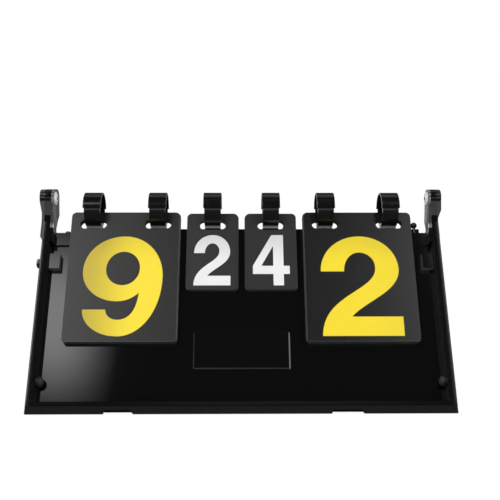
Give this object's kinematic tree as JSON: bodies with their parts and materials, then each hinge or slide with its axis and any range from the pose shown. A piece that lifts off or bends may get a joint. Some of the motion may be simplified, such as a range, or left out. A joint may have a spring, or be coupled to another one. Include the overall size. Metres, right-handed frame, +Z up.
{
  "type": "tabletop flip scoreboard",
  "caption": "Folding tabletop scoreboard: two riveted shallow black trays stand as an A-frame, with score cards that flip over on closed rings.",
  "frame": {"origin": "on the table, at the middle of the open frame", "axes": "+X along the width, towards the right as the scores are read, -Y towards the reader, +Z up"},
  "size_m": [0.3948, 0.1724, 0.2049],
  "materials": {
    "case_plastic": "gloss",
    "ring_plastic": "gloss",
    "card_plastic": "satin",
    "panel_plastic": "gloss",
    "yellow_print": "satin",
    "white_print": "satin",
    "bright_steel": "satin",
    "rubber": "matte"
  },
  "bodies": {
    "front": {"ball_peg": "case_plastic", "flat_peg": "case_plastic", "front_buffers": "rubber", "front_tray": "case_plastic", "guest_score_stack": "card_plastic", "guest_set_stack": "card_plastic", "home_score_stack": "card_plastic", "home_set_stack": "card_plastic", "label_panel": "panel_plastic", "left_pivot_rivet": "bright_steel", "left_pivot_washer": "bright_steel", "right_pivot_rivet": "bright_steel", "right_pivot_washer": "bright_steel", "ring_1_base": "ring_plastic", "ring_1_cap": "ring_plastic", "ring_2_base": "ring_plastic", "ring_2_cap": "ring_plastic", "ring_3_base": "ring_plastic", "ring_3_cap": "ring_plastic", "ring_4_base": "ring_plastic", "ring_4_cap": "ring_plastic", "ring_5_base": "ring_plastic", "ring_5_cap": "ring_plastic", "ring_6_base": "ring_plastic", "ring_6_cap": "ring_plastic", "ring_screws": "bright_steel", "stop_pin": "case_plastic"},
    "rear": {"rear_tray": "case_plastic", "rear_buffers": "rubber"},
    "home_score": {"home_score_card": "card_plastic", "home_score_numeral": "yellow_print"},
    "guest_score": {"guest_score_card": "card_plastic", "guest_score_numeral": "yellow_print"},
    "home_set": {"home_set_card": "card_plastic", "home_set_numeral": "white_print"},
    "guest_set": {"guest_set_card": "card_plastic", "guest_set_numeral": "white_print"}
  },
  "joints": [
    {"name": "rear_fold", "type": "hinge", "parent": "front", "child": "rear", "pos_m": [0, 0, 0.196], "axis": [1, 0, 0], "range_deg": [0, 311.6]},
    {"name": "home_score_flip", "type": "hinge", "parent": "front", "child": "home_score", "pos_m": [0, 0, 0.1842], "axis": [-1, 0, 0], "range_deg": [0, 285]},
    {"name": "guest_score_flip", "type": "hinge", "parent": "front", "child": "guest_score", "pos_m": [0, 0, 0.1842], "axis": [-1, 0, 0], "range_deg": [0, 285]},
    {"name": "home_set_flip", "type": "hinge", "parent": "front", "child": "home_set", "pos_m": [0, 0, 0.1842], "axis": [-1, 0, 0], "range_deg": [0, 305]},
    {"name": "guest_set_flip", "type": "hinge", "parent": "front", "child": "guest_set", "pos_m": [0, 0, 0.1842], "axis": [-1, 0, 0], "range_deg": [0, 305]}
  ]
}
